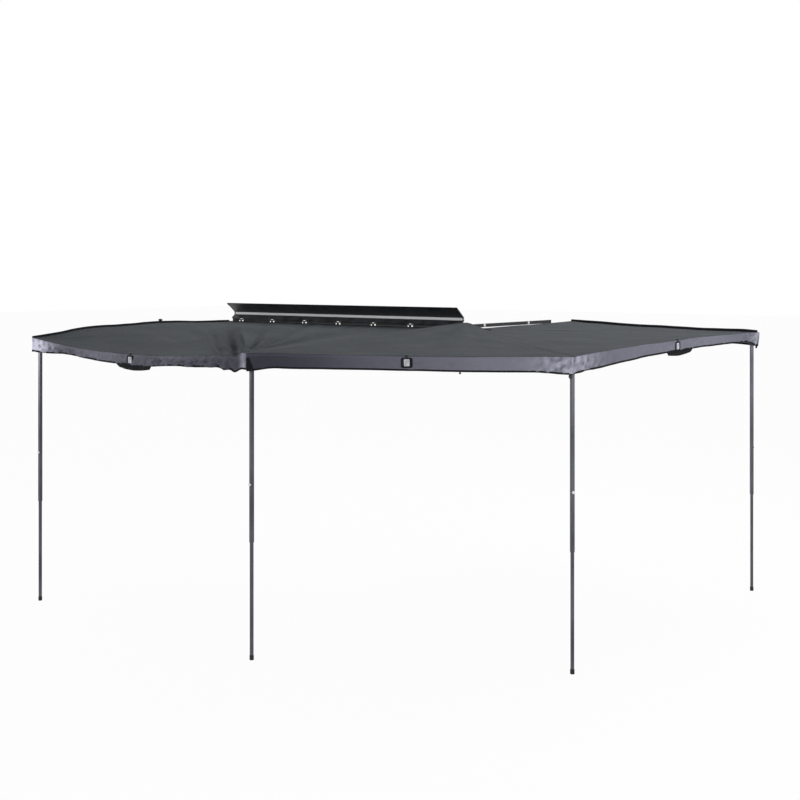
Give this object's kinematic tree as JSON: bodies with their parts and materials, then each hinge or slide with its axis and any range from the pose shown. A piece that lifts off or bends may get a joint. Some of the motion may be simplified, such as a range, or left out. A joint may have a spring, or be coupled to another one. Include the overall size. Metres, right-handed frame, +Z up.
{
  "type": "vehicle side awning",
  "caption": "Wrap-round vehicle awning set up from a slim wall case: arms swing out from a staggered hub and carry a tensioned canopy on drop-down telescopic legs.",
  "frame": {"origin": "centre of the back panel's flat rear face, which faces the vehicle", "axes": "+X towards the rear of the vehicle along the case, +Y inboard, out of the back face, +Z up"},
  "size_m": [4.3329, 3.7458, 2.0968],
  "materials": {
    "black_aluminium": "black powder-coated extruded aluminium",
    "plain_aluminium": "plain machined aluminium",
    "gunmetal_tube": "dark anodised square tube, satin",
    "steel": "zinc-plated or stainless steel, bright",
    "black_plastic": "black glass-filled moulding",
    "silver_stripe": "light grey trim strip, semi-gloss",
    "rubber": "black rubber",
    "canopy_cloth": "dark slate grey coated woven canvas",
    "valance_cloth": "violet-grey coated woven cloth"
  },
  "bodies": {
    "case": {"back_panel": "black_aluminium", "case_floor": "black_aluminium", "hinge_rod": "steel", "hub_bracket": "black_aluminium", "front_bracket": "black_aluminium", "arm_2_pin": "steel", "arm_3_pin": "steel", "arm_4_pin": "steel", "front_arm_pin": "steel", "rear_arm_pin": "steel", "rear_arm_spacer": "black_plastic", "rack_bracket_1": "black_aluminium", "rack_bracket_2": "black_aluminium", "rack_bracket_3": "black_aluminium", "rack_bracket_4": "black_aluminium"},
    "lid": {"lid_shell": "black_aluminium", "lid_stripe": "silver_stripe", "lid_seal": "rubber"},
    "latch_1": {"latch_lever_1": "steel"},
    "latch_2": {"latch_lever_2": "steel"},
    "front_arm": {"front_arm_tube": "gunmetal_tube", "front_arm_root": "black_plastic", "front_arm_clevis": "black_plastic"},
    "arm_2": {"arm_2_tube": "gunmetal_tube", "arm_2_root": "black_plastic", "arm_2_clevis": "black_plastic", "canopy_front": "canopy_cloth", "canopy_side_rear": "canopy_cloth", "valance_front": "valance_cloth"},
    "arm_3": {"arm_3_tube": "gunmetal_tube", "arm_3_root": "black_plastic", "arm_3_clevis": "black_plastic", "canopy_rear": "canopy_cloth"},
    "arm_4": {"arm_4_tube": "gunmetal_tube", "arm_4_root": "black_plastic", "arm_4_clevis": "black_plastic", "canopy_inner": "canopy_cloth"},
    "rear_arm": {"rear_arm_tube": "gunmetal_tube", "rear_arm_root": "black_plastic", "rear_arm_cap": "black_plastic"},
    "leg_1": {"leg_1_outer_tube": "gunmetal_tube", "leg_1_head": "black_plastic"},
    "leg_1_lower": {"leg_1_inner_tube": "gunmetal_tube", "leg_1_foot": "rubber"},
    "leg_1_clamp": {"leg_1_knob": "plain_aluminium"},
    "leg_2": {"leg_2_outer_tube": "gunmetal_tube", "leg_2_head": "black_plastic"},
    "leg_2_lower": {"leg_2_inner_tube": "gunmetal_tube", "leg_2_foot": "rubber"},
    "leg_2_clamp": {"leg_2_knob": "plain_aluminium"},
    "leg_3": {"leg_3_outer_tube": "gunmetal_tube", "leg_3_head": "black_plastic"},
    "leg_3_lower": {"leg_3_inner_tube": "gunmetal_tube", "leg_3_foot": "rubber"},
    "leg_3_clamp": {"leg_3_knob": "plain_aluminium"},
    "leg_4": {"leg_4_outer_tube": "gunmetal_tube", "leg_4_head": "black_plastic"},
    "leg_4_lower": {"leg_4_inner_tube": "gunmetal_tube", "leg_4_foot": "rubber"},
    "leg_4_clamp": {"leg_4_knob": "plain_aluminium"}
  },
  "joints": [
    {"name": "lid_hinge", "type": "hinge", "parent": "case", "child": "lid", "pos_m": [0, -0.01, 0.056], "axis": [1, 0, 0], "range_deg": [0, 107]},
    {"name": "latch_1_swing", "type": "hinge", "parent": "case", "child": "latch_1", "pos_m": [-0.45, -0.1365, -0.038], "axis": [-1, 0, 0], "range_deg": [0, 202.8]},
    {"name": "latch_2_swing", "type": "hinge", "parent": "case", "child": "latch_2", "pos_m": [0.45, -0.1365, -0.038], "axis": [-1, 0, 0], "range_deg": [0, 202.8]},
    {"name": "arm_2_swing", "type": "hinge", "parent": "case", "child": "arm_2", "pos_m": [1.273, -0.02, 0.011], "axis": [-0.014, 0.0144, -0.9998], "range_deg": [0, 88.17], "deforming": ["canopy_front", "canopy_side_rear", "canopy_rear", "canopy_inner", "valance_front"]},
    {"name": "arm_3_swing", "type": "hinge", "parent": "case", "child": "arm_3", "pos_m": [1.36, -0.045, 0.011], "axis": [-0.0177, 0.0061, -0.9998], "range_deg": [0, 141.94]},
    {"name": "arm_4_swing", "type": "hinge", "parent": "case", "child": "arm_4", "pos_m": [1.447, -0.07, 0.011], "axis": [-0.0042, -0.0015, -1], "range_deg": [0, 219.84]},
    {"name": "front_arm_swing", "type": "hinge", "parent": "case", "child": "front_arm", "pos_m": [-1.257, -0.095, 0.011], "axis": [-0.0095, -0.011, 0.9999], "range_deg": [0, 81.55]},
    {"name": "rear_arm_swing", "type": "hinge", "parent": "case", "child": "rear_arm", "pos_m": [1.293, -0.065, 0.0595], "axis": [0, 0, -1], "range_deg": [0, 270]},
    {"name": "leg_1_fold", "type": "hinge", "parent": "front_arm", "child": "leg_1", "pos_m": [-0.94708, -2.17949, -0.056], "axis": [0.9891, 0.1471, 0], "range_deg": [0, 91.09]},
    {"name": "leg_1_slide", "type": "slide", "parent": "leg_1", "child": "leg_1_lower", "axis": [0, 0, 1], "range_m": [0, 0.66]},
    {"name": "leg_1_clamp_turn", "type": "hinge", "parent": "leg_1", "child": "leg_1_clamp", "pos_m": [-0.94708, -2.17949, -0.83], "axis": [0.1471, -0.9891, 0], "range_deg": [0, 270]},
    {"name": "leg_2_fold", "type": "hinge", "parent": "arm_2", "child": "leg_2", "pos_m": [1.20302, -2.19925, -0.07699], "axis": [0.9995, -0.0321, 0], "range_deg": [0, 91.6]},
    {"name": "leg_2_slide", "type": "slide", "parent": "leg_2", "child": "leg_2_lower", "axis": [0, 0, 1], "range_m": [0, 0.66]},
    {"name": "leg_2_clamp_turn", "type": "hinge", "parent": "leg_2", "child": "leg_2_clamp", "pos_m": [1.20302, -2.19925, -0.83], "axis": [-0.0321, -0.9995, 0], "range_deg": [0, 270]},
    {"name": "leg_3_fold", "type": "hinge", "parent": "arm_3", "child": "leg_3", "pos_m": [2.87225, -1.22941, -0.08398], "axis": [0.6166, 0.7873, 0], "range_deg": [0, 92.03]},
    {"name": "leg_3_slide", "type": "slide", "parent": "leg_3", "child": "leg_3_lower", "axis": [0, 0, 1], "range_m": [0, 0.66]},
    {"name": "leg_3_clamp_turn", "type": "hinge", "parent": "leg_3", "child": "leg_3_clamp", "pos_m": [2.87225, -1.22941, -0.83], "axis": [0.7873, -0.6166, 0], "range_deg": [0, 270]},
    {"name": "leg_4_fold", "type": "hinge", "parent": "arm_4", "child": "leg_4", "pos_m": [2.99282, 1.21985, -0.033], "axis": [-0.6407, 0.7678, 0], "range_deg": [0, 90.48]},
    {"name": "leg_4_slide", "type": "slide", "parent": "leg_4", "child": "leg_4_lower", "axis": [0, 0, 1], "range_m": [0, 0.66]},
    {"name": "leg_4_clamp_turn", "type": "hinge", "parent": "leg_4", "child": "leg_4_clamp", "pos_m": [2.99282, 1.21985, -0.83], "axis": [0.7678, 0.6407, 0], "range_deg": [0, 270]}
  ],
  "couplings": [
    {"joint": "arm_3_swing", "follows": "arm_2_swing", "ratio": 1.6098},
    {"joint": "arm_4_swing", "follows": "arm_2_swing", "ratio": 2.4933},
    {"joint": "rear_arm_swing", "follows": "arm_2_swing", "ratio": 3.0622}
  ]
}
